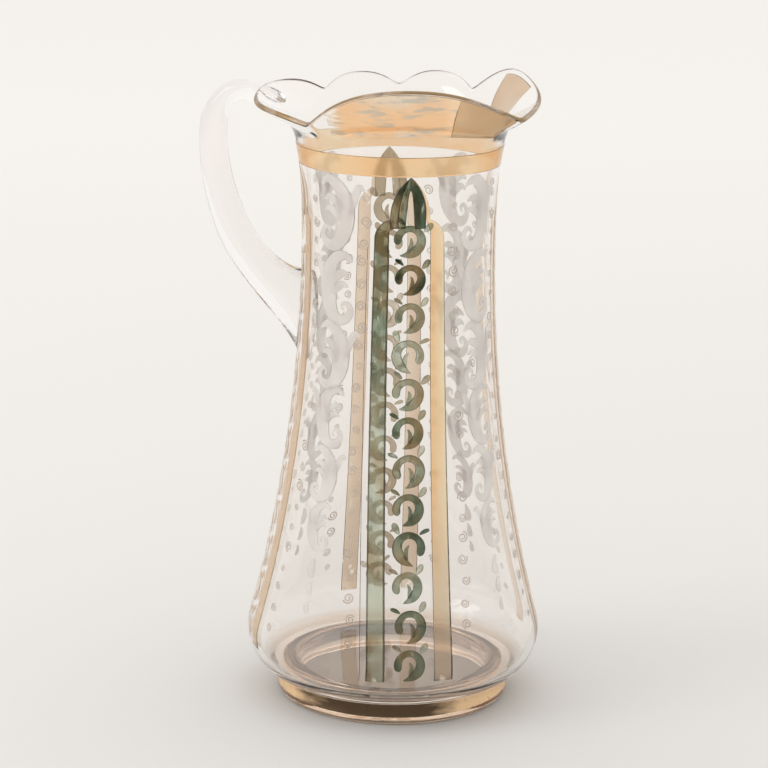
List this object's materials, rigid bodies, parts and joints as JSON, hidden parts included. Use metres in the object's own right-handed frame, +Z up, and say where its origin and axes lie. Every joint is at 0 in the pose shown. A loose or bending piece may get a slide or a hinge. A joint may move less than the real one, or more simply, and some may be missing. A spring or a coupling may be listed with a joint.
{
  "type": "glass jug",
  "caption": "Clear blown glass jug with a flared body, crimped rim with pouring lip, drawn loop handle, foot ring and fired gilt and enamel panels.",
  "frame": {"origin": "centre of the foot ring's rest plane, on the vessel's axis", "axes": "+Z up along the vessel's axis, +X towards the pouring lip, handle towards -X"},
  "size_m": [0.1591, 0.1326, 0.2813],
  "materials": {
    "clear_glass": "fire-polished, clear, faintly grey",
    "gilding": "fired gold, thin and worn",
    "green_enamel": "fired olive and grey-green enamel",
    "white_enamel": "raised matte white enamel"
  },
  "bodies": {
    "root": {"glass_body": "clear_glass", "foot_ring": "clear_glass", "handle": "clear_glass", "neck_gilt_band": "gilding", "foot_gilding": "gilding", "front_arch": "green_enamel", "front_left_strap": "green_enamel", "front_right_strap": "gilding", "front_scrolls": "green_enamel", "front_right_leaves": "white_enamel", "right_arch": "gilding", "right_left_strap": "gilding", "right_right_strap": "gilding", "right_scrolls": "gilding", "back_right_leaves": "white_enamel", "back_arch": "green_enamel", "back_left_strap": "gilding", "back_right_strap": "gilding", "back_scrolls": "green_enamel", "back_left_leaves": "white_enamel", "left_arch": "gilding", "left_left_strap": "gilding", "left_right_strap": "gilding", "left_scrolls": "gilding", "front_left_leaves": "white_enamel"}
  },
  "joints": []
}
